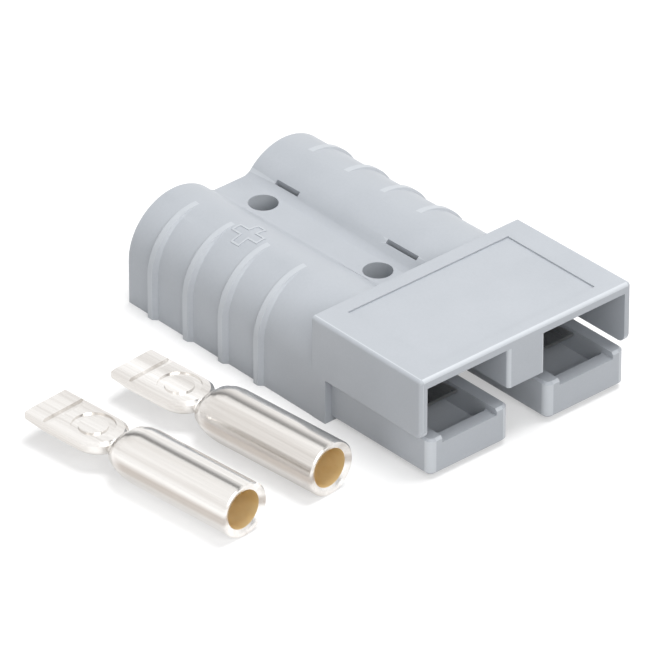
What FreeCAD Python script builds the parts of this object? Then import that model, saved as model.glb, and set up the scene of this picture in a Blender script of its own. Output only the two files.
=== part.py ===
import FreeCAD, Part
import Sketcher
import math
import os
import re

# Genderless two pole power connector: a moulded housing with a leaf spring in each
# tray, and the two crimp contacts lying beside it. +X is the mating end, +Z is up,
# and the origin is midway between the mounting holes on the underside.

doc = FreeCAD.newDocument("power_connector")
sheet = doc.addObject("Spreadsheet::Sheet", "Sizes")

SIZES = {
    # Housing envelope
    "housing_width": 36.5,
    "housing_length": 58.9,
    "housing_height": 15.4,
    "hood_length": 21.75,
    "hood_setback": 0.4,
    "hood_flare": 0.25,
    "mating_depth": 19.2,
    "mating_height": 6.2,
    # Hood, pillar and the clearances to a mated partner
    "roof_thickness": 1.4,
    "hood_wall": 0.9,
    "parting_gap": 0.15,
    "pillar_width": 6.4,
    "pillar_gap": 1.8,
    "pillar_edge": 0.5,
    "slide_clearance": 0.15,
    "pillar_clearance": 0.15,
    "hood_edge": 0.55,
    "wall_corner": 1.2,
    "panel_side_margin": 4.15,
    "panel_end_margin": 2.3,
    "panel_depth": 0.25,
    # Tongues and trays
    "pole_spacing": 20.6,
    "tray_width": 9.5,
    "tongue_foot": 0.6,
    "tray_floor": 2.8,
    "tray_corner": 0.5,
    "rail_drop": 0.2,
    "lip_thickness": 2.0,
    "lip_drop": 0.9,
    "tongue_corner": 1.1,
    "tongue_edge": 0.35,
    # Barrels and the web between them
    "barrel_spring_line": 6.5,
    "rear_barrel_radius": 8.1,
    "front_barrel_radius": 8.5,
    "barrel_inset": 0.05,
    "web_height": 11.35,
    "web_bevel": 0.5,
    # Outer ribs
    "rib_pitch": 7.15,
    "first_rib": 5.0,
    "rib_rise": 0.6,
    "rib_crest": 0.9,
    "rib_flank": 0.9,
    # Mounting holes and the windows at the foot of each barrel
    "hole_spacing": 22.8,
    "hole_diameter": 4.1,
    "rear_margin": 6.8,
    "window_width": 0.5,
    "window_depth": 3.6,
    "rear_window_foot": 3.65,
    "rear_window_start": 5.0,
    "rear_window_length": 4.5,
    "front_window_foot": 3.95,
    "front_window_start": 26.7,
    "front_window_length": 6.0,
    # Cable entries and contact bores
    "bore_height": 6.3,
    "cable_bore": 10.8,
    "cable_bevel": 0.5,
    "bore_clearance": 0.2,
    "tip_gap": 1.5,
    # Leaf springs
    "spring_thickness": 0.45,
    "spring_width": 8.9,
    "spring_tail_width": 6.0,
    "spring_clearance": 0.1,
    "spring_tail_length": 12.3,
    "spring_tab": 0.8,
    "spring_ramp": 9.0,
    "spring_crest_height": 5.1,
    "spring_end_height": 5.35,
    "spring_neck": 3.7,
    "spring_bend": 2.5,
    "latch_gap": 0.2,
    # Contacts
    "contact_length": 36.9,
    "contact_diameter": 7.8,
    "wire_bore": 5.6,
    "wire_bore_depth": 15.0,
    "mouth_bevel": 0.8,
    "mouth_depth": 0.35,
    "mouth_edge": 0.15,
    "barrel_length": 17.9,
    "swage_start": 1.3,
    "swage_width": 7.75,
    "swage_thickness": 7.4,
    "shoulder_start": 2.7,
    "shoulder_width": 7.3,
    "shoulder_thickness": 6.3,
    "throat_start": 4.0,
    "throat_width": 6.1,
    "throat_thickness": 4.5,
    "shoulder_length": 4.9,
    "neck_width": 3.6,
    "neck_thickness": 1.8,
    "neck_lap": 2.0,
    "blade_width": 7.8,
    "blade_round": 10.2,
    "blade_thickness": 2.0,
    "blade_rise": 0.6,
    "blade_edge": 0.5,
    "blade_corner": 0.7,
    "nose_length": 3.6,
    "nose_tip": 1.1,
    "nose_slope": 8.0,
    "groove_width": 1.1,
    "groove_depth": 0.3,
    "ring_center": 9.2,
    "ring_outside": 6.0,
    "ring_inside": 4.0,
    "ring_depth": 0.2,
    # Where the contacts lie
    "contact_lie": 34.55,
    "first_contact": 28.75,
    "contact_apart": 14.75,
    "contact_turn": 4.0,
}
RIB_COUNT = 4

for row, (name, value) in enumerate(SIZES.items(), start=1):
    sheet.set("A%d" % row, name)
    sheet.set("B%d" % row, str(value))
    sheet.setAlias("B%d" % row, name)

# Places worked out from the driving sizes, each an expression on one variable set
PLACES = {
    "rear_x": "-(hole_spacing / 2 + rear_margin)",
    "front_x": "rear_x + housing_length",
    "hood_x": "front_x - hood_length",
    "hood_front_x": "front_x - hood_setback",
    "body_x": "front_x - mating_depth",
    "lip_x": "front_x - lip_thickness",
    "half_width": "housing_width / 2",
    "inner_wall_y": "half_width - hood_wall",
    "pole_y": "pole_spacing / 2",
    "wall_z": "mating_height + parting_gap",
    "pillar_z": "mating_height + pillar_gap",
    "roof_z": "housing_height - roof_thickness",
    "rail_z": "mating_height - rail_drop",
    "bore_radius": "contact_diameter / 2 + bore_clearance",
    "channel_z": "bore_height - bore_radius - spring_clearance - spring_thickness",
    "tongue_in_y": "pillar_width / 2 + pillar_clearance",
    "tongue_out_y": "inner_wall_y - slide_clearance",
    "barrel_y": "half_width - barrel_inset - front_barrel_radius",
    "barrel_growth": "(front_barrel_radius - rear_barrel_radius) / (hood_x - rear_x)",
    "tip_x": "lip_x - tip_gap",
    "mouth_x": "tip_x - contact_length",
    "spring_end_x": "tip_x - nose_length - latch_gap",
    "spring_bend_x": "body_x - spring_clearance",
    "spring_tail_x": "spring_bend_x - spring_tail_length",
    "spring_neck_x": "spring_bend_x + spring_neck",
    "blade_foot": "blade_rise - blade_thickness",
}

places = doc.addObject("App::VarSet", "Places")
for name in PLACES:
    places.addProperty("App::PropertyFloat", name, "Places")


def spelled(formula):
    """Writes a formula of plain names as an expression on the sheet and the places."""
    def owner(match):
        word = match.group(0)
        if word in SIZES:
            return "Sizes." + word
        if word in PLACES:
            return "Places." + word
        return word
    return re.sub(r"[a-z][a-z_]+", owner, formula)


doc.recompute()
for name, formula in PLACES.items():
    places.setExpression(name, spelled(formula))
doc.recompute()


def read(name):
    """The present value of a driving size or a place."""
    return float(getattr(places, name)) if name in PLACES else SIZES[name]


def bind(item, links):
    for prop, formula in links.items():
        item.setExpression(prop, spelled(formula))
    return item


def put(item, x="0", y="0", z="0"):
    return bind(item, {"Placement.Base.x": x, "Placement.Base.y": y, "Placement.Base.z": z})


def block(name, x_range, y_range, z_range):
    """A box between two stations on each axis."""
    box = doc.addObject("Part::Box", name)
    for side, (low, high) in zip(("Length", "Width", "Height"), (x_range, y_range, z_range)):
        bind(box, {side: "(%s) - (%s)" % (high, low)})
    return put(box, x_range[0], y_range[0], z_range[0])


ALONG_X = FreeCAD.Rotation(FreeCAD.Vector(0, 1, 0), 90)
FACING_X = FreeCAD.Rotation(FreeCAD.Vector(1, 1, 1), 120)
SIDE_VIEW = FreeCAD.Rotation(FreeCAD.Vector(1, 0, 0), 90)
PLAN_VIEW = FreeCAD.Rotation(FreeCAD.Vector(0, 0, 1), -90)


def turned(item, rotation):
    item.Placement = FreeCAD.Placement(FreeCAD.Vector(), rotation)
    return item


def rod(name, radius, length, x="0", y="0", z="0", upright=False):
    """A cylinder from a point, along X or upright."""
    cylinder = doc.addObject("Part::Cylinder", name)
    if not upright:
        turned(cylinder, ALONG_X)
    bind(cylinder, {"Radius": radius, "Height": length})
    return put(cylinder, x, y, z)


def funnel(name, first_radius, last_radius, length, x="0", y="0", z="0"):
    """A cone along X."""
    cone = turned(doc.addObject("Part::Cone", name), ALONG_X)
    bind(cone, {"Radius1": first_radius, "Radius2": last_radius, "Height": length})
    return put(cone, x, y, z)


def joined(name, pieces):
    union = doc.addObject("Part::MultiFuse", name)
    union.Shapes = pieces
    union.Refine = True
    return union


def cut(name, base, tool):
    remainder = doc.addObject("Part::Cut", name)
    remainder.Base = base
    remainder.Tool = tool
    remainder.Refine = True
    return remainder


def overlap(name, first, second):
    shared = doc.addObject("Part::Common", name)
    shared.Base = first
    shared.Tool = second
    return shared


def mirrored(name, source):
    """The same shape on the other side of the XZ plane."""
    twin = doc.addObject("Part::Mirroring", name)
    twin.Source = source
    twin.Base = FreeCAD.Vector(0, 0, 0)
    twin.Normal = FreeCAD.Vector(0, 1, 0)
    return twin


def both_sides(name, source):
    return joined(name, [source, mirrored(name + "_twin", source)])


def rounded(name, source, radius, wanted, kind="Part::Fillet"):
    """Rounds or chamfers the edges of a shape that the given test picks out."""
    doc.recompute()
    size = read(radius)
    picked = [(number, size, size) for number, edge in enumerate(source.Shape.Edges, start=1) if wanted(edge)]
    if not picked:
        raise ValueError(name + " finds no edge to round")
    worked = doc.addObject(kind, name)
    worked.Base = source
    worked.Edges = picked
    return worked


def close(value, target, slack=0.01):
    return abs(value - target) < slack


def spans(edge, axis):
    """True for an edge that runs along one axis only."""
    box = edge.BoundBox
    lengths = {"x": box.XLength, "y": box.YLength, "z": box.ZLength}
    return lengths.pop(axis) > 0.05 and max(lengths.values()) < 0.001


def arch(name, rotation, centre, spring_line, radius):
    """A sketch with a flat foot, two upright sides and a half round head."""
    sketch = turned(doc.addObject("Sketcher::SketchObject", name), rotation)
    left, right, head = 1.0, 3.0, 2.0
    corners = [(left, 0), (right, 0), (right, head), (left, head)]
    low_left, low_right, top_right, top_left = (FreeCAD.Vector(x, y, 0) for x, y in corners)
    round_head = Part.Circle(FreeCAD.Vector((left + right) / 2, head, 0), FreeCAD.Vector(0, 0, 1), 1.0)
    sketch.addGeometry([
        Part.LineSegment(low_left, low_right),
        Part.LineSegment(low_right, top_right),
        Part.ArcOfCircle(round_head, 0, math.pi),
        Part.LineSegment(top_left, low_left),
    ])
    start, end, middle, origin = 1, 2, 3, -1
    for first, second in ((0, 1), (1, 2), (2, 3), (3, 0)):
        sketch.addConstraint(Sketcher.Constraint("Coincident", first, end, second, start))
    sketch.addConstraint(Sketcher.Constraint("PointOnObject", 0, start, origin))
    sketch.addConstraint(Sketcher.Constraint("Horizontal", 0))
    sketch.addConstraint(Sketcher.Constraint("Vertical", 1))
    sketch.addConstraint(Sketcher.Constraint("Vertical", 3))
    sketch.addConstraint(Sketcher.Constraint("Horizontal", 2, middle, 2, start))
    sketch.addConstraint(Sketcher.Constraint("Horizontal", 2, middle, 2, end))
    sizes = {
        "radius": (Sketcher.Constraint("Radius", 2, 1.0), radius),
        "centre": (Sketcher.Constraint("DistanceX", origin, start, 2, middle, 2.0), centre),
        "spring": (Sketcher.Constraint("DistanceY", origin, start, 2, middle, 2.0), spring_line),
    }
    for label, (constraint, formula) in sizes.items():
        sketch.renameConstraint(sketch.addConstraint(constraint), label)
        bind(sketch, {"Constraints." + label: formula})
    return sketch


def polygon(name, rotation, corners):
    """A closed sketch with each corner held by its two distances from the origin."""
    sketch = turned(doc.addObject("Sketcher::SketchObject", name), rotation)
    count = len(corners)
    spots = [
        FreeCAD.Vector(math.cos(2 * math.pi * turn / count), math.sin(2 * math.pi * turn / count), 0)
        for turn in range(count)
    ]
    for number, spot in enumerate(spots):
        sketch.addGeometry(Part.LineSegment(spot, spots[(number + 1) % count]))
    start, end, origin = 1, 2, -1
    for number in range(count):
        sketch.addConstraint(Sketcher.Constraint("Coincident", number, end, (number + 1) % count, start))
    for number, corner in enumerate(corners):
        for direction, present, formula in zip("XY", spots[number], corner):
            held = Sketcher.Constraint("Distance" + direction, origin, start, number, start, present)
            label = direction.lower() + str(number)
            sketch.renameConstraint(sketch.addConstraint(held), label)
            bind(sketch, {"Constraints." + label: formula})
    return sketch


def extruded(name, sketch, direction, length, middle=False):
    pad = doc.addObject("Part::Extrusion", name)
    pad.Base = sketch
    pad.DirMode = "Custom"
    pad.Dir = FreeCAD.Vector(*direction)
    pad.Solid = True
    pad.Symmetric = middle
    return bind(pad, {"LengthFwd": length})


def loft(name, sections, ruled):
    skin = doc.addObject("Part::Loft", name)
    skin.Sections = sections
    skin.Solid = True
    skin.Ruled = ruled
    return skin


LAP = 1.0  # how far a piece runs into the one it is fused with, or a tool past its face


# Hood: roof, side wall, centre pillar and the solid block behind the cavities

def make_hood():
    plan = polygon("hood_plan", FreeCAD.Rotation(), [
        ("hood_x", "0"),
        ("hood_front_x", "0"),
        ("hood_front_x", "half_width + hood_flare"),
        ("hood_x", "half_width"),
    ])
    outside = extruded("hood_block", plan, (0, 0, 1), "housing_height")
    ahead = ("body_x", "front_x + %s" % LAP)
    below = "-%s" % LAP
    hollow = joined("hood_hollow", [
        block("under_walls", ahead, ("pillar_width / 2", "housing_width"), (below, "wall_z")),
        block("cavity", ahead, ("pillar_width / 2", "inner_wall_y"), (below, "roof_z")),
        block("under_pillar", ahead, (below, "inner_wall_y"), (below, "pillar_z")),
    ])
    plain = both_sides("plain_hood", cut("half_hood", outside, hollow))
    front, low, top = read("hood_front_x"), read("wall_z"), read("housing_height")
    side = read("half_width")
    rear = read("hood_x")

    def lower_front_corner(edge):
        centre = edge.BoundBox.Center
        return spans(edge, "y") and close(centre.x, front) and close(centre.z, low)

    def outer_edge(edge):
        box = edge.BoundBox
        level = close(box.ZMin, top) and close(box.ZMax, top)
        upright = spans(edge, "z") and abs(box.Center.y) > side - 0.01
        return (level and box.XMax > rear + 0.01) or (upright and close(box.Center.x, front))

    def pillar_edge(edge):
        centre = edge.BoundBox.Center
        beside = close(abs(centre.y), read("pillar_width") / 2)
        return beside and spans(edge, "z") and close(centre.x, front)

    corners = rounded("hood_corners", plain, "wall_corner", lower_front_corner)
    edges = rounded("hood_edges", corners, "hood_edge", outer_edge)
    return rounded("hood", edges, "pillar_edge", pillar_edge)


# Tongue: the tray that carries a contact blade, open to the top, with a lowered front lip

def make_tongue():
    start = "body_x - %s" % LAP
    bar = block("tongue_bar", (start, "front_x"), ("tongue_in_y", "tongue_out_y"), ("tongue_foot", "rail_z"))
    front, root = read("front_x"), read("body_x") - LAP
    bar = rounded("tongue_corners", bar, "tongue_corner",
                  lambda edge: spans(edge, "z") and close(edge.BoundBox.Center.x, front))
    bar = rounded("tongue_edges", bar, "tongue_edge",
                  lambda edge: not spans(edge, "z") and not close(edge.BoundBox.XMax, root), kind="Part::Chamfer")
    sides = ("pole_y - tray_width / 2", "pole_y + tray_width / 2")
    above = "rail_z + %s" % LAP
    hollow = block("tray_hollow", ("body_x", "lip_x"), sides, ("tray_floor", above))
    lip = read("lip_x")
    hollow = rounded("tray_space", hollow, "tray_corner",
                     lambda edge: spans(edge, "z") and close(edge.BoundBox.Center.x, lip))
    notch = block("lip_notch", ("lip_x - %s" % LAP, "front_x + %s" % LAP), sides, ("rail_z - lip_drop", above))
    return cut("tongue", bar, joined("tray_tools", [hollow, notch]))


# Barrels: a tapered crown on an upright base over each pole, four outer ribs and the web

def make_rib(number):
    """A chamfered slab of the barrel's own section moved outward, so it fades out over the crown."""
    middle = "(first_rib + %d * rib_pitch)" % number
    name = "rib_%d" % number
    section = arch(name + "_section", FACING_X, "barrel_y + rib_rise", "barrel_spring_line",
                   "rear_barrel_radius + barrel_growth * " + middle)
    put(section, "rear_x + %s - rib_crest / 2 - rib_flank" % middle)
    slab = extruded(name + "_slab", section, (1, 0, 0), "rib_crest + 2 * rib_flank")
    pole = read("barrel_y")

    def outer_edge(edge):
        box = edge.BoundBox
        return close(box.XLength, 0) and box.YMax > pole + 5 and box.ZLength > 1

    return rounded(name, slab, "rib_flank", outer_edge, kind="Part::Chamfer")


def make_barrels():
    end = "hood_x + %s" % LAP
    run = "(hood_x + %s - rear_x)" % LAP
    last_radius = "rear_barrel_radius + barrel_growth * " + run
    cone = funnel("barrel_cone", "rear_barrel_radius", last_radius, run,
                  x="rear_x", y="barrel_y", z="barrel_spring_line")
    above = block("above_spring_line", ("rear_x - %s" % LAP, "hood_x + %s" % (2 * LAP)), ("0", "housing_width"),
                  ("barrel_spring_line", "2 * housing_height"))
    crown = overlap("barrel_crown", cone, above)
    plan = polygon("barrel_plan", FreeCAD.Rotation(), [
        ("rear_x", "0"),
        (end, "0"),
        (end, "barrel_y + " + last_radius),
        ("rear_x", "barrel_y + rear_barrel_radius"),
    ])
    base = extruded("barrel_base", plan, (0, 0, 1), "barrel_spring_line")
    web = block("half_web", ("rear_x", end), ("0", "barrel_y"), ("0", "web_height"))
    barrel = joined("barrel_and_web", [joined("barrel", [crown, base]), web])
    ribs = [make_rib(number) for number in range(RIB_COUNT)]
    return both_sides("barrels", joined("half_barrels", [barrel] + ribs))


# Tools for the bores, spring channels and windows of one pole

def make_pole_tools():
    pole = {"y": "pole_y", "z": "bore_height"}
    cable_radius = "cable_bore / 2"
    lead = "(cable_bore / 2 - bore_radius)"
    channel = ("pole_y - spring_tail_width / 2 - spring_clearance",
               "pole_y + spring_tail_width / 2 + spring_clearance")
    depth = ("web_height - window_depth", "housing_height")
    return joined("pole_tools", [
        rod("cable_entry", cable_radius, "mouth_x - rear_x + %s" % LAP, x="rear_x - %s" % LAP, **pole),
        funnel("entry_bevel", cable_radius + " + cable_bevel", cable_radius, "cable_bevel", x="rear_x", **pole),
        funnel("contact_lead", cable_radius, "bore_radius", lead, x="mouth_x", **pole),
        rod("contact_bore", "bore_radius", "body_x - mouth_x", x="mouth_x", **pole),
        block("spring_channel", ("spring_tail_x - spring_clearance", "spring_neck_x"), channel,
              ("channel_z", "bore_height - bore_radius / 2")),
        block("spring_notch", ("spring_tail_x - spring_clearance",
                               "spring_tail_x + spring_thickness + spring_clearance"), channel,
              ("channel_z - spring_tab", "bore_height")),
        block("rear_window", ("rear_x + rear_window_start",
                              "rear_x + rear_window_start + rear_window_length"),
              ("rear_window_foot", "rear_window_foot + window_width"), depth),
        block("front_window", ("rear_x + front_window_start",
                               "rear_x + front_window_start + front_window_length"),
              ("front_window_foot", "front_window_foot + window_width"), depth),
    ])


def make_housing():
    tongues = both_sides("tongues", make_tongue())
    solid = joined("housing_solid", [make_hood(), make_barrels(), tongues])
    web_top = read("web_height")

    def web_crease(edge):
        box = edge.BoundBox
        return close(box.ZMin, web_top) and close(box.ZMax, web_top) and box.XLength > 10 * box.YLength

    bevelled = rounded("housing_bevelled", solid, "web_bevel", web_crease, kind="Part::Chamfer")
    holes = [
        rod("mounting_hole_%d" % number, "hole_diameter / 2", "housing_height + %s" % (2 * LAP),
            x="%d * hole_spacing / 2" % sign, z="-%s" % LAP, upright=True)
        for number, sign in enumerate((-1, 1), start=1)
    ]
    panel_side = "half_width - panel_side_margin"
    panel = block("panel_recess", ("hood_x + panel_end_margin", "hood_front_x - panel_end_margin"),
                  ("-(%s)" % panel_side, panel_side),
                  ("housing_height - panel_depth", "housing_height + %s" % LAP))
    tools = joined("housing_tools", [both_sides("both_pole_tools", make_pole_tools()), panel] + holes)
    return cut("housing", bevelled, tools)


# Leaf spring: a tab and narrow tail held under the contact, then a wide ramp in the tray

def make_spring(name, side):
    thick = " + spring_thickness"
    profile = polygon(name + "_profile", SIDE_VIEW, [
        ("spring_tail_x", "channel_z - spring_tab"),
        ("spring_tail_x + spring_thickness", "channel_z - spring_tab"),
        ("spring_tail_x + spring_thickness", "channel_z"),
        ("spring_bend_x", "channel_z"),
        ("spring_bend_x + spring_ramp", "spring_crest_height"),
        ("spring_end_x", "spring_end_height"),
        ("spring_end_x", "spring_end_height" + thick),
        ("spring_bend_x + spring_ramp", "spring_crest_height" + thick),
        ("spring_bend_x", "channel_z" + thick),
        ("spring_tail_x", "channel_z" + thick),
    ])
    pole = "%d * pole_y" % side
    put(profile, y=pole)
    leaf = extruded(name + "_leaf", profile, (0, 1, 0), "spring_width", middle=True)
    beside = []
    for number, sign in enumerate((-1, 1)):
        edge = "%s + %d * spring_tail_width / 2" % (pole, sign)
        far = "%s + %d * spring_width" % (pole, sign)
        beside.append(block("%s_relief_%d" % (name, number), ("spring_tail_x - %s" % LAP, "spring_neck_x"),
                            (edge, far) if sign > 0 else (far, edge), ("0", "housing_height")))
    blank = cut(name + "_blank", leaf, joined(name + "_reliefs", beside))
    bends = (read("spring_bend_x"), read("spring_bend_x") + read("spring_ramp"))

    def bend(edge):
        return spans(edge, "y") and min(abs(edge.BoundBox.Center.x - spot) for spot in bends) < 0.01

    return rounded(name, blank, "spring_bend", bend)


# Crimp contact: a tube drawn down through a shoulder and neck to a flat latching blade

def make_contact(name, offset):
    barrel = rod(name + "_tube", "contact_diameter / 2", "barrel_length", x="-barrel_length")
    barrel = rounded(name + "_barrel", barrel, "mouth_edge",
                     lambda edge: close(edge.BoundBox.XMin, 0) and close(edge.BoundBox.XMax, 0),
                     kind="Part::Chamfer")
    blade_middle = "(blade_rise - blade_thickness / 2)"
    neck_x = "-barrel_length - shoulder_length"
    rings = (
        ("round", "-barrel_length", "0", "contact_diameter / 2", "contact_diameter / 2"),
        ("swage", "-barrel_length - swage_start", "0", "swage_width / 2", "swage_thickness / 2"),
        ("shoulder_top", "-barrel_length - shoulder_start", "0", "shoulder_width / 2", "shoulder_thickness / 2"),
        ("throat", "-barrel_length - throat_start", blade_middle + " / 2", "throat_width / 2", "throat_thickness / 2"),
        ("neck", neck_x, blade_middle, "neck_width / 2", "neck_thickness / 2"),
    )
    sections = []
    for label, x, z, wide, high in rings:
        ring = turned(doc.addObject("Part::Ellipse", name + "_" + label), FACING_X)
        bind(ring, {"MajorRadius": wide, "MinorRadius": high})
        sections.append(put(ring, x=x, z=z))
    shoulder = loft(name + "_shoulder", sections, ruled=True)
    neck = extruded(name + "_neck_lap", sections[-1], (-1, 0, 0), "neck_lap")
    plan = arch(name + "_plan", PLAN_VIEW, "0", "blade_round", "blade_width / 2")
    put(plan, x="-contact_length", z="blade_foot")
    strip = extruded(name + "_strip", plan, (0, 0, 1), "blade_thickness")
    tip, foot, top = -read("contact_length"), read("blade_foot"), read("blade_rise")

    def long_edge(edge):
        box = edge.BoundBox
        level = close(box.ZLength, 0) and (close(box.ZMin, foot) or close(box.ZMin, top))
        return level and box.XLength > 1

    def tip_corner(edge):
        return spans(edge, "z") and close(edge.BoundBox.Center.x, tip)

    strip = rounded(name + "_corners", strip, "blade_corner", tip_corner)
    strip = rounded(name + "_blade", strip, "blade_edge", long_edge, kind="Part::Chamfer")
    half = "blade_width"
    slope = polygon(name + "_slope", SIDE_VIEW, [
        ("-contact_length - %s" % LAP, "blade_foot - %s" % LAP),
        ("nose_slope - contact_length", "blade_foot - %s" % LAP),
        ("nose_slope - contact_length", "blade_foot"),
        ("-contact_length", "blade_rise - nose_tip"),
        ("-contact_length - %s" % LAP, "blade_rise - nose_tip"),
    ])
    wedge = extruded(name + "_nose_slope", slope, (0, 1, 0), "2 * blade_width", middle=True)
    groove = block(name + "_groove", ("nose_length - contact_length", "nose_length + groove_width - contact_length"),
                   ("-" + half, half), ("blade_rise - groove_depth", "blade_rise + %s" % LAP))
    ring_spot = {"x": "ring_center - contact_length", "z": "blade_rise - ring_depth", "upright": True}
    stamp = cut(name + "_stamp",
                rod(name + "_stamp_outside", "ring_outside / 2", "ring_depth + %s" % LAP, **ring_spot),
                rod(name + "_stamp_inside", "ring_inside / 2", "ring_depth + %s" % LAP, **ring_spot))
    bore = rod(name + "_bore", "wire_bore / 2", "wire_bore_depth + %s" % LAP, x="-wire_bore_depth")
    bevel = funnel(name + "_bevel", "wire_bore / 2", "wire_bore / 2 + mouth_bevel", "mouth_depth", x="-mouth_depth")
    body = joined(name + "_body", [barrel, shoulder, neck, strip])
    contact = cut(name, body, joined(name + "_tools", [wedge, groove, stamp, bore, bevel]))
    contact.Placement = FreeCAD.Placement(FreeCAD.Vector(), FreeCAD.Rotation(FreeCAD.Vector(0, 0, 1), 1.0))
    bind(contact, {"Placement.Rotation.Angle": "contact_turn"})
    return put(contact, "contact_lie", "-first_contact - %s" % offset, "contact_diameter / 2")


nodes = {
    "housing": make_housing(),
    "left_spring": make_spring("left_spring", 1),
    "right_spring": make_spring("right_spring", -1),
    "inner_contact": make_contact("inner_contact", "0"),
    "outer_contact": make_contact("outer_contact", "contact_apart"),
}
for label, node in nodes.items():
    node.Label = label
doc.recompute()

for item in doc.Objects:
    if "Invalid" in item.State or "Error" in item.State:
        raise RuntimeError(item.Name + " failed: " + str(item.State))
for label, node in nodes.items():
    shape = node.Shape
    if shape.isNull() or not shape.isValid() or len(shape.Solids) != 1:
        raise RuntimeError(label + " is not one valid solid")
    print(label, "volume %.1f" % shape.Volume, shape.BoundBox)

os.makedirs("parts", exist_ok=True)
for label, node in nodes.items():
    node.Shape.exportStep(os.path.join("parts", label + ".step"))
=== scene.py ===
import bmesh
import bpy
import math
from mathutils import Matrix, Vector


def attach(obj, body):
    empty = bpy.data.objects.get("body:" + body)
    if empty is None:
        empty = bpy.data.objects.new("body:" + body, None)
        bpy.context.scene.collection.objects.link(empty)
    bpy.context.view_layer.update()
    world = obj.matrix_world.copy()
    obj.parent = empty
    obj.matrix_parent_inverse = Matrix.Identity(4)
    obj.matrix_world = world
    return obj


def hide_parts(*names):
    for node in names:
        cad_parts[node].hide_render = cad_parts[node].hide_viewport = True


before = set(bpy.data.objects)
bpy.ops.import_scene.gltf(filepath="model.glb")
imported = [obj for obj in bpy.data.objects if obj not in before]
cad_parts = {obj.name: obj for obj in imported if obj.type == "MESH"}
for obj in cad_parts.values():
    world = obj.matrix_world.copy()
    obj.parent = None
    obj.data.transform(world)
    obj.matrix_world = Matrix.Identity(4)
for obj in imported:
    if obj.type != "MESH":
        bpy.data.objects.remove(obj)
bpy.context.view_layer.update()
scene = bpy.context.scene


# camera, at the photograph's angle

cameraSettings = {
    "place": (0.84125, -0.74620, 0.70500),
    "azimuth": 48.341,
    "elevation": 32.222,
    "lens": 540.54,
    "sensor": 36.0,
    "clip": (0.01, 20),
}


def placeCamera():
    data = bpy.data.cameras.new("camera")
    data.lens = cameraSettings["lens"]
    data.sensor_width = cameraSettings["sensor"]
    data.sensor_height = cameraSettings["sensor"]
    data.clip_start, data.clip_end = cameraSettings["clip"]
    camera = bpy.data.objects.new("camera", data)
    camera.location = cameraSettings["place"]
    tilt = math.radians(90 - cameraSettings["elevation"])
    camera.rotation_euler = (tilt, 0, math.radians(cameraSettings["azimuth"]))
    scene.collection.objects.link(camera)
    scene.camera = camera


placeCamera()
print("camera placed")


# node helpers, for the studio and the materials

def newMaterial(name):
    material = bpy.data.materials.new(name)
    material.use_nodes = True
    return material, material.node_tree, material.node_tree.nodes["Principled BSDF"]


def addNode(tree, kind, settings=None, inputs=None):
    node = tree.nodes.new("ShaderNode" + kind)
    for name, value in (settings or {}).items():
        setattr(node, name, value)
    for name, value in (inputs or {}).items():
        if isinstance(value, bpy.types.NodeSocket):
            tree.links.new(value, node.inputs[name])
        else:
            node.inputs[name].default_value = value
    return node


def calculate(tree, operation, first, second):
    return addNode(tree, "Math", {"operation": operation}, {0: first, 1: second}).outputs[0]


def between(tree, factor, low, high):
    node = addNode(tree, "MapRange", inputs={"Value": factor, "To Min": low, "To Max": high})
    return node.outputs["Result"]


def fadeIn(tree, value, start, end):
    # 0 at the start and before it, 1 at the end and beyond it
    node = addNode(tree, "MapRange", {"interpolation_type": "SMOOTHSTEP"},
                   {"Value": value, "From Min": start, "From Max": end})
    return node.outputs["Result"]


def mixColours(tree, factor, first, second):
    # a Mix node's two colours are its inputs 6 and 7, and their mix is its output 2
    return addNode(tree, "Mix", {"data_type": "RGBA"}, {"Factor": factor, 6: first, 7: second}).outputs[2]


# floor, backdrop and lights

studio = {
    "white": (1, 1, 1, 1),
    "floorSize": 6.0,
    "floorColour": (0.62, 0.62, 0.62, 1),
    "floorRoughness": 0.9,
    "floorSpecular": 0.1,
    "floorGlow": 0.40,  # seen by the camera and in reflections only
    "worldLight": 0.31,
    "worldSeen": 1.2,
    "stripSide": (0.12, 0.17, 0.25, 0.50),  # how far to the side a dark strip starts, is darkest and ends
    "stripSeen": 0.10,
}

lights = {
    "keyLight": {"place": (0.02, 0.13, 0.57), "target": (0.01, 0, 0), "size": 0.38, "power": 3.25},
    "leftLight": {"place": (0.10, -0.62, 0.14), "target": (0.02, -0.01, 0), "size": 0.35, "power": 0.86},
    "frontLight": {"place": (0.29, -0.11, 0.19), "target": (0.03, 0, 0), "size": 0.22, "power": 0.50},
}


def seenByEye(tree):
    # 1 for camera, glossy and transmission rays, else 0
    path = addNode(tree, "LightPath").outputs
    seen = path["Is Camera Ray"]
    for name in ("Is Glossy Ray", "Is Transmission Ray"):
        seen = calculate(tree, "MAXIMUM", seen, path[name])
    return seen


def darkStrip(tree):
    # 1 everywhere, less across an upright strip that only reflections show
    direction = addNode(tree, "TexCoord").outputs["Generated"]
    side = addNode(tree, "SeparateXYZ", inputs={0: direction}).outputs["Y"]
    ramp = addNode(tree, "ValToRGB", inputs={"Fac": side})
    ramp.color_ramp.elements[0].color = studio["white"]
    start, darkFrom, darkTo, end = studio["stripSide"]
    dark = studio["stripSeen"]
    for place, value in ((start, 1), (darkFrom, dark), (darkTo, dark), (end, 1)):
        ramp.color_ramp.elements.new(place).color = (value, value, value, 1)
    glossy = addNode(tree, "LightPath").outputs["Is Glossy Ray"]
    mix = addNode(tree, "Mix", inputs={"Factor": glossy, "A": 1, "B": ramp.outputs["Color"]})
    return mix.outputs["Result"]


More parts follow.
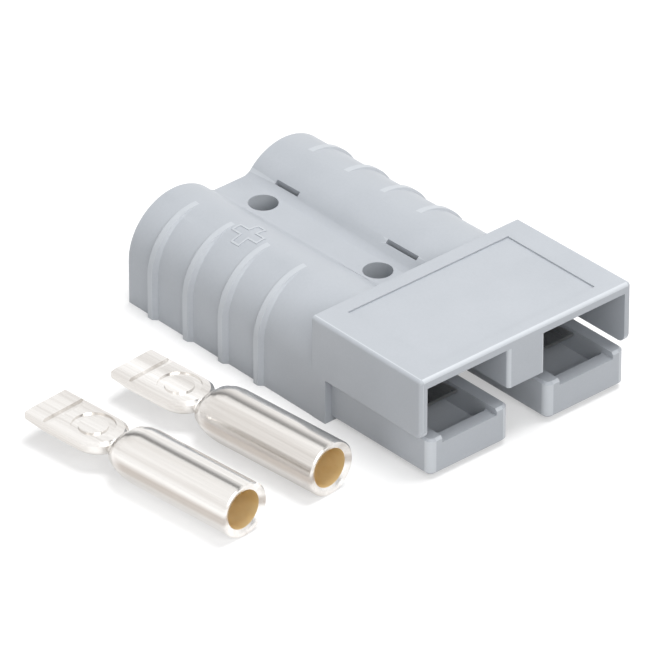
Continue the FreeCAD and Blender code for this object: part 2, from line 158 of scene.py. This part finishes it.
def makeWorld():
    world = bpy.data.worlds.new("studioWorld")
    world.use_nodes = True
    world.cycles.sampling_method = "NONE"  # so that metal sees the full background
    tree = world.node_tree
    background = tree.nodes["Background"]
    background.inputs["Color"].default_value = studio["white"]
    strength = between(tree, seenByEye(tree), studio["worldLight"], studio["worldSeen"])
    tree.links.new(calculate(tree, "MULTIPLY", strength, darkStrip(tree)), background.inputs["Strength"])
    scene.world = world


def makeFloor():
    bm = bmesh.new()
    bmesh.ops.create_grid(bm, x_segments=1, y_segments=1, size=studio["floorSize"] / 2)
    mesh = bpy.data.meshes.new("floor")
    bm.to_mesh(mesh)
    bm.free()
    floor = bpy.data.objects.new("floor", mesh)
    scene.collection.objects.link(floor)
    material, tree, shader = newMaterial("studioFloor")
    shader.inputs["Base Color"].default_value = studio["floorColour"]
    shader.inputs["Roughness"].default_value = studio["floorRoughness"]
    shader.inputs["Specular IOR Level"].default_value = studio["floorSpecular"]
    shader.inputs["Emission Color"].default_value = studio["white"]
    glow = calculate(tree, "MULTIPLY", seenByEye(tree), studio["floorGlow"])
    tree.links.new(glow, shader.inputs["Emission Strength"])
    mesh.materials.append(material)


def makeLight(name, light):
    data = bpy.data.lights.new(name, "AREA")
    data.shape = "DISK"
    data.size = light["size"]
    data.energy = light["power"]
    lamp = bpy.data.objects.new(name, data)
    lamp.location = light["place"]
    aim = Vector(light["target"]) - Vector(light["place"])
    lamp.rotation_euler = aim.to_track_quat("-Z", "Y").to_euler()
    scene.collection.objects.link(lamp)


makeWorld()
makeFloor()
for lightName, light in lights.items():
    makeLight(lightName, light)
scene.view_settings.view_transform = "Standard"
print("studio ready")


# materials

surfaceNoise = {
    "fine": {"Detail": 3.0, "Roughness": 0.6},
    "broad": {"Detail": 2.0, "Distortion": 0.3},
    "middle": 0.5,
}


def makeSurfaceGroup():
    # fine grain over a broad drift of tone, shared by the plastic and the metals
    tree = bpy.data.node_groups.new("surfaceTone", "ShaderNodeTree")
    for name, kind in (("Vector", "Vector"), ("Fine Scale", "Float"), ("Broad Scale", "Float"),
                       ("Fine Share", "Float"), ("Contrast", "Float"),
                       ("Dark", "Color"), ("Light", "Color")):
        tree.interface.new_socket(name, in_out="INPUT", socket_type="NodeSocket" + kind)
    for name, kind in (("Colour", "Color"), ("Tone", "Float"), ("Grain", "Float")):
        tree.interface.new_socket(name, in_out="OUTPUT", socket_type="NodeSocket" + kind)
    given = tree.nodes.new("NodeGroupInput").outputs
    fine = addNode(tree, "TexNoise", inputs={
        "Vector": given["Vector"], "Scale": given["Fine Scale"], **surfaceNoise["fine"]})
    broad = addNode(tree, "TexNoise", inputs={
        "Vector": given["Vector"], "Scale": given["Broad Scale"], **surfaceNoise["broad"]})
    blend = addNode(tree, "Mix", inputs={
        "Factor": given["Fine Share"], "A": broad.outputs["Fac"], "B": fine.outputs["Fac"]})
    centred = calculate(tree, "SUBTRACT", blend.outputs["Result"], surfaceNoise["middle"])
    tone = addNode(tree, "Math", {"operation": "MULTIPLY_ADD", "use_clamp": True},
                   {0: centred, 1: given["Contrast"], 2: surfaceNoise["middle"]}).outputs[0]
    out = tree.nodes.new("NodeGroupOutput")
    tree.links.new(mixColours(tree, tone, given["Dark"], given["Light"]), out.inputs["Colour"])
    tree.links.new(tone, out.inputs["Tone"])
    tree.links.new(fine.outputs["Fac"], out.inputs["Grain"])
    return tree


surfaceGroup = makeSurfaceGroup()


def surfaceTone(tree, look):
    # the group on the piece's own coordinates, turned about z and stretched as the look says
    own = addNode(tree, "TexCoord").outputs["Object"]
    turned = addNode(tree, "Mapping", inputs={"Vector": own, "Rotation": (0, 0, look["turn"])})
    drawn = addNode(tree, "Mapping", inputs={"Vector": turned.outputs["Vector"], "Scale": look["stretch"]})
    node = addNode(tree, "Group", {"node_tree": surfaceGroup}, {
        "Vector": drawn.outputs["Vector"],
        "Fine Scale": look["fineScale"], "Broad Scale": look["broadScale"], "Fine Share": look["fineShare"],
        "Contrast": look["contrast"], "Dark": look["dark"], "Light": look["light"],
    })
    return node.outputs


def tint(tree, base, mask, colour, amount):
    return mixColours(tree, calculate(tree, "MULTIPLY", mask, amount), base, colour)


def makeSurface(name, look, tinted=None):
    # tinted is a function that takes the tree, the look and the group's outputs and changes the colour
    material, tree, shader = newMaterial(name)
    tone = surfaceTone(tree, look)
    colour = tinted(tree, look, tone) if tinted else tone["Colour"]
    strength, height = look["bump"]
    bump = addNode(tree, "Bump", inputs={"Strength": strength, "Distance": height, "Height": tone["Grain"]})
    shader.inputs["Metallic"].default_value = look["metallic"]
    tree.links.new(colour, shader.inputs["Base Color"])
    tree.links.new(between(tree, tone["Tone"], *look["roughness"]), shader.inputs["Roughness"])
    tree.links.new(bump.outputs["Normal"], shader.inputs["Normal"])
    return material


plastic = {
    "dark": (0.376, 0.399, 0.430, 1),
    "light": (0.426, 0.449, 0.482, 1),
    "fineScale": 2600.0,  # grain of about 0.4 mm
    "broadScale": 140.0,  # flow marks of about 7 mm
    "fineShare": 0.45,
    "contrast": 1.6,
    "stretch": (1, 1, 1),
    "turn": 0.0,
    "edgeHighlightColour": (0.66, 0.69, 0.72, 1),  # painted highlight: the colour that rounded edges and rib crests are lightened towards
    "edgeHighlightAmount": 0.45,
    "metallic": 0.0,
    "roughness": (0.36, 0.46),
    "bump": (0.35, 0.00002),
}


def paintEdgeHighlight(tree, look, tone):
    # painted highlight: the base colour is lightened on faces marked as small roundings and rib crests
    edge = addNode(tree, "Attribute", {"attribute_name": "edgeHighlightMask"}).outputs["Fac"]
    return tint(tree, tone["Colour"], edge, look["edgeHighlightColour"], look["edgeHighlightAmount"])


contactTurn = math.radians(4.0)

plating = {
    "dark": (0.58, 0.55, 0.52, 1),
    "light": (0.94, 0.925, 0.905, 1),
    "fineScale": 1.0,
    "broadScale": 0.14,
    "fineShare": 0.22,
    "contrast": 2.6,
    "stretch": (45.0, 2600.0, 2600.0),  # drawn streaks along the tube
    "turn": -contactTurn,
    "reflectionBandHeight": (0.0028, 0.0037, 0.0041, 0.0050),  # painted reflection: the darker band along the tube's flank
    "reflectionBandStart": (0.0135, 0.0165),  # it begins on the tube's shoulder
    "reflectionBandStreaks": (1.0, 0.7),
    "reflectionBandColour": (0.34, 0.29, 0.25, 1),
    "reflectionBandAmount": 0.75,
    "metallic": 1.0,
    "roughness": (0.27, 0.17),
    "bump": (0.4, 0.000012),
}

boreWall = {
    "dark": (0.74, 0.53, 0.23, 1),
    "light": (0.90, 0.72, 0.42, 1),
    "fineScale": 1.0,
    "broadScale": 0.35,
    "fineShare": 0.4,
    "contrast": 1.8,
    "stretch": (500.0, 900.0, 900.0),
    "turn": -contactTurn,
    "metallic": 0.2,
    "roughness": (0.55, 0.42),
    "bump": (0.4, 0.000015),
}

spring = {
    "dark": (0.50, 0.49, 0.47, 1),
    "light": (0.66, 0.65, 0.63, 1),
    "fineScale": 1.0,
    "broadScale": 0.3,
    "fineShare": 0.5,
    "contrast": 2.0,
    "stretch": (90.0, 3000.0, 3000.0),
    "turn": 0.0,
    "metallic": 1.0,
    "roughness": (0.36, 0.24),
    "bump": (0.4, 0.00001),
}


def paintedReflectionBand(tree, look, tone):
    # painted reflection of a darker band: strongest at the band's middle heights, fading out above, below
    # and before its start, and broken up by the streaks
    own = addNode(tree, "TexCoord").outputs["Object"]
    place = addNode(tree, "SeparateXYZ", inputs={0: own}).outputs
    low, lowIn, highIn, high = look["reflectionBandHeight"]
    shares = (
        fadeIn(tree, place["Z"], low, lowIn),
        fadeIn(tree, place["Z"], high, highIn),
        fadeIn(tree, place["X"], *look["reflectionBandStart"]),
        between(tree, tone["Tone"], *look["reflectionBandStreaks"]),
    )
    mask = shares[0]
    for share in shares[1:]:
        mask = calculate(tree, "MULTIPLY", mask, share)
    return tint(tree, tone["Colour"], mask, look["reflectionBandColour"], look["reflectionBandAmount"])


greyPlastic = makeSurface("greyPolycarbonate", plastic, paintEdgeHighlight)
platedCopper = makeSurface("platedCopper", plating, paintedReflectionBand)
bareCopper = makeSurface("bareCopperBore", boreWall)
springSteel = makeSurface("springSteel", spring)
print("materials ready")


# pieces: merged copies of the imported solids, smoothed, with their rounded edges and rib crests marked for
# a painted highlight

finish = {
    "mergeDistance": 2e-6,
    "flatAngle": math.radians(0.3),
    "sharpAngle": math.radians(28),
    "crestWidth": 0.00095,  # faces narrower than this between two sharp bends are a rib's crest
    "crestTriangle": 0.0016,  # and so are triangles shorter than this where the crest ends
    "crestTurn": 0.2,
    "crestHighlightShare": 0.6,
    "edgeWidth": 0.00033,  # faces narrower than this in a rounding are an edge
    "edgeBend": math.radians(8),
}


def edgeHighlightShare(face):
    # how much painted highlight a face gets: all of it on a small rounding, a share on a rib's crest
    longest = max(edge.calc_length() for edge in face.edges)
    width = face.calc_area() / longest
    bends = sorted(edge.calc_face_angle_signed(0) for edge in face.edges if edge.is_manifold)
    if len(bends) < 3:
        return 0.0
    if width < finish["edgeWidth"] and bends[-2] > finish["edgeBend"]:
        return 1.0
    flatOrOut = bends[0] > -finish["edgeBend"] / 2
    crest = bends[-2] > finish["sharpAngle"]
    crestEnd = (longest < finish["crestTriangle"] and bends[-1] > finish["sharpAngle"]
                and abs(face.normal.x) < finish["crestTurn"])
    if width < finish["crestWidth"] and flatOrOut and (crest or crestEnd):
        return finish["crestHighlightShare"]
    return 0.0


def markEdgeHighlight(bm, shareOf):
    # each face's share of the painted edge highlight, stored on its corners
    edgeHighlightMask = bm.loops.layers.float.new("edgeHighlightMask")
    for face in bm.faces:
        share = shareOf(face)
        for loop in face.loops:
            loop[edgeHighlightMask] = share


def newPiece(name, mesh):
    piece = bpy.data.objects.new(name, mesh)
    scene.collection.objects.link(piece)
    return piece


def cleanCopy(node, name):
    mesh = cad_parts[node].data.copy()
    mesh.name = name
    bm = bmesh.new()
    bm.from_mesh(mesh)
    bmesh.ops.remove_doubles(bm, verts=bm.verts, dist=finish["mergeDistance"])
    bmesh.ops.dissolve_limit(bm, angle_limit=finish["flatAngle"], use_dissolve_boundaries=False,
                             verts=bm.verts, edges=bm.edges, delimit={"NORMAL"})
    markEdgeHighlight(bm, edgeHighlightShare)
    for face in bm.faces:
        face.smooth = True
    for edge in bm.edges:
        edge.smooth = edge.is_manifold and edge.calc_face_angle(0) < finish["sharpAngle"]
    bm.to_mesh(mesh)
    bm.free()
    mesh.materials.clear()
    return newPiece(name, mesh)


def dress(piece, node, materials):
    for material in materials:
        piece.data.materials.append(material)
    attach(piece, "root")
    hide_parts(node)


edgeBreak = {
    "width": 0.00012,
    "segments": 2,
    "angle": math.radians(40),
}


def breakEdges(piece):
    bevel = piece.modifiers.new("edgeBreak", "BEVEL")
    bevel.width = edgeBreak["width"]
    bevel.segments = edgeBreak["segments"]
    bevel.limit_method = "ANGLE"
    bevel.angle_limit = edgeBreak["angle"]
    bevel.harden_normals = True


housing = cleanCopy("housing", "mouldedHousing")
breakEdges(housing)
dress(housing, "housing", [greyPlastic])
print("housing dressed")

polarityMark = {
    "place": (-0.0026, -0.0103),
    "length": 0.0050,
    "armWidth": 0.0017,
    "stroke": 0.00028,
    "rise": 0.00010,
    "sunk": 0.00015,
    "cuts": 2,
    "barrelSide": -0.0097,
    "barrelAxis": 0.0065,
    "barrelRadius": (0.0081, 0.0085),  # at the rear and at the hood
    "barrelEnds": (-0.0182, 0.01895),
}


def barrelTop(x, y):
    rear, front = polarityMark["barrelEnds"]
    narrow, wide = polarityMark["barrelRadius"]
    radius = narrow + (wide - narrow) * (x - rear) / (front - rear)
    return polarityMark["barrelAxis"] + math.sqrt(radius ** 2 - (y - polarityMark["barrelSide"]) ** 2)


def makePolarityMark():
    # a moulded plus in outline on the near barrel's crown
    bm = bmesh.new()
    reach, arm = polarityMark["length"] / 2, polarityMark["armWidth"] / 2
    corner = [(arm, reach), (arm, arm), (reach, arm)]
    outline = corner + [(x, -y) for x, y in reversed(corner)]
    outline += [(-x, -y) for x, y in corner] + [(-x, y) for x, y in reversed(corner)]
    plus = bm.faces.new([bm.verts.new((x, y, 0)) for x, y in outline])
    bmesh.ops.recalc_face_normals(bm, faces=bm.faces)
    bmesh.ops.inset_region(bm, faces=[plus], thickness=polarityMark["stroke"],
                           use_boundary=True, use_even_offset=True)
    bmesh.ops.delete(bm, geom=[plus], context="FACES_ONLY")
    bmesh.ops.subdivide_edges(bm, edges=bm.edges, cuts=polarityMark["cuts"], use_grid_fill=True)
    raised = bmesh.ops.extrude_face_region(bm, geom=list(bm.faces))
    top = {vert for vert in raised["geom"] if isinstance(vert, bmesh.types.BMVert)}
    for vert in bm.verts:
        vert.co.x += polarityMark["place"][0]
        vert.co.y += polarityMark["place"][1]
        step = polarityMark["rise"] if vert in top else -polarityMark["sunk"]
        vert.co.z = barrelTop(vert.co.x, vert.co.y) + step
    bmesh.ops.recalc_face_normals(bm, faces=bm.faces)
    # the whole raised mark gets the rib crest's share of painted highlight
    markEdgeHighlight(bm, lambda face: finish["crestHighlightShare"])
    mesh = bpy.data.meshes.new("polarityMark")
    bm.to_mesh(mesh)
    bm.free()
    mesh.materials.append(greyPlastic)
    mark = newPiece("polarityMark", mesh)
    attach(mark, "root")


makePolarityMark()
print("polarity mark raised")

for side in ("left", "right"):
    dress(cleanCopy(side + "_spring", side + "LeafSpring"), side + "_spring", [springSteel])
print("springs dressed")

contactShape = {
    "mouth": {"inner": (0.03455, -0.02875, 0.0039), "outer": (0.03455, -0.0435, 0.0039)},
    "boreRadius": 0.0028,
    "boreDepth": 0.0150,
    "slack": 0.0001,
}


def paintBore(piece, mouth):
    # the wire bore gets the second material, the bare copper
    axis = Vector((math.cos(contactTurn), math.sin(contactTurn), 0))
    depth = contactShape["boreDepth"] + contactShape["slack"]
    radius = contactShape["boreRadius"] + contactShape["slack"]
    for face in piece.data.polygons:
        reaches = [piece.data.vertices[index].co - Vector(mouth) for index in face.vertices]
        inside = all(reach.dot(axis) > -depth and (reach - axis * reach.dot(axis)).length < radius
                     for reach in reaches)
        face.material_index = 1 if inside else 0


for place in ("inner", "outer"):
    contact = cleanCopy(place + "_contact", place + "CrimpContact")
    dress(contact, place + "_contact", [platedCopper, bareCopper])
    paintBore(contact, contactShape["mouth"][place])
print("contacts dressed")
